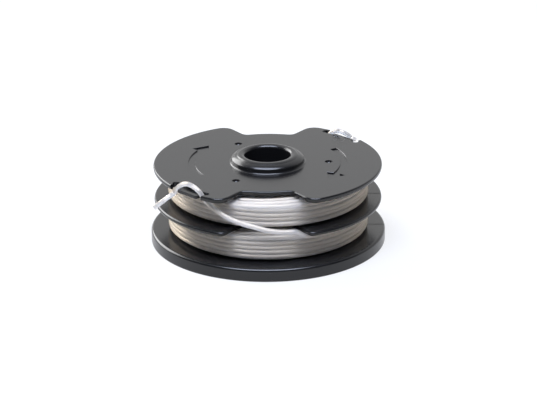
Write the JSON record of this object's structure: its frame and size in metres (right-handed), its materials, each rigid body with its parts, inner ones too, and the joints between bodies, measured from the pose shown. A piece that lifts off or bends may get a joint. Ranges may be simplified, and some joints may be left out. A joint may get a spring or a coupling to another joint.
{
  "type": "trimmer line spool",
  "caption": "Round plastic spool with a top, middle and bottom flange, wound with nylon cutting line in both bays, for the head of a grass trimmer.",
  "frame": {"origin": "on the axis of the bore, in the plane that the bottom rim stands on", "axes": "+Z along the bore towards the collar; -Y is the side where the lower line crosses the middle flange; +X to the right seen from there"},
  "size_m": [0.08, 0.08, 0.0305],
  "materials": {
    "spool_plastic": "black, injection moulded, semi-gloss",
    "line_nylon": "clear to milky extruded nylon"
  },
  "bodies": {
    "root": {"spool": "spool_plastic", "lower_winding": "line_nylon", "upper_winding": "line_nylon", "front_line_end": "line_nylon", "back_line_end": "line_nylon"}
  },
  "joints": []
}
